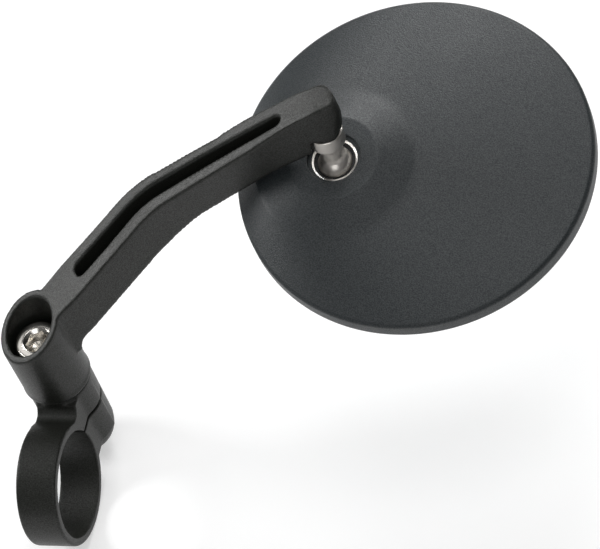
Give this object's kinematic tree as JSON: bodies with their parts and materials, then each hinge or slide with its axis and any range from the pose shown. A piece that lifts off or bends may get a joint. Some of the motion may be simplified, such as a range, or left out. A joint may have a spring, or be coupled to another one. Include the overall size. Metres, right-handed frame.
{
  "type": "motorcycle bar end mirror",
  "caption": "Round mirror on a bent machined arm with a ball joint, held to a handlebar end by a split clamp.",
  "frame": {"origin": "centre of the clamp's bore, on the bar's axis", "axes": "+X along the bar outwards, +Y from the bar to the clamp ears, +Z along the clamp bolt towards its head"},
  "size_m": [0.1671, 0.1362, 0.1106],
  "materials": {
    "clamp_black": "black anodised, fine bead-blasted",
    "bolt_steel": "turned stainless steel",
    "arm_black": "black anodised, milled",
    "stud_steel": "turned and polished steel",
    "race_polymer": "moulded bearing plastic",
    "housing_black": "black anodised, fine grain",
    "socket_steel": "turned bright steel",
    "spring_steel": "spring steel",
    "pad_foam": "adhesive foam",
    "glass_mirror": "silvered glass, slightly convex",
    "seal_rubber": "soft rubber"
  },
  "bodies": {
    "clamp": {"bar_clamp": "clamp_black", "clamp_bolt": "bolt_steel"},
    "swing_arm": {"arm": "arm_black", "ball_stud": "stud_steel"},
    "race_low": {"lower_race": "race_polymer"},
    "race_up": {"upper_race": "race_polymer"},
    "mirror": {"mirror_housing": "housing_black", "ball_socket": "socket_steel", "race_cup": "socket_steel", "spring_washer": "spring_steel", "socket_plug": "socket_steel", "glass_pad": "pad_foam", "mirror_glass": "glass_mirror", "rim_seal": "seal_rubber"}
  },
  "joints": [
    {"name": "arm_swing", "type": "hinge", "parent": "clamp", "child": "swing_arm", "pos_m": [-0.0012, 0.0257, 0.0159], "axis": [0, 0, 1], "continuous": true},
    {"name": "ball_pan", "type": "hinge", "parent": "swing_arm", "child": "race_low", "pos_m": [0.08761, 0.06383, 0.06409], "axis": [0.9713, 0.2308, -0.0582], "range_deg": [-12, 12]},
    {"name": "ball_tilt", "type": "hinge", "parent": "race_low", "child": "race_up", "pos_m": [0.08761, 0.06383, 0.06409], "axis": [-0.2192, 0.9625, 0.1599], "range_deg": [-20, 1]},
    {"name": "ball_spin", "type": "hinge", "parent": "race_up", "child": "mirror", "pos_m": [0.08761, 0.06383, 0.06409], "axis": [0.093, -0.1426, 0.9854], "range_deg": [-30, 30]}
  ]
}
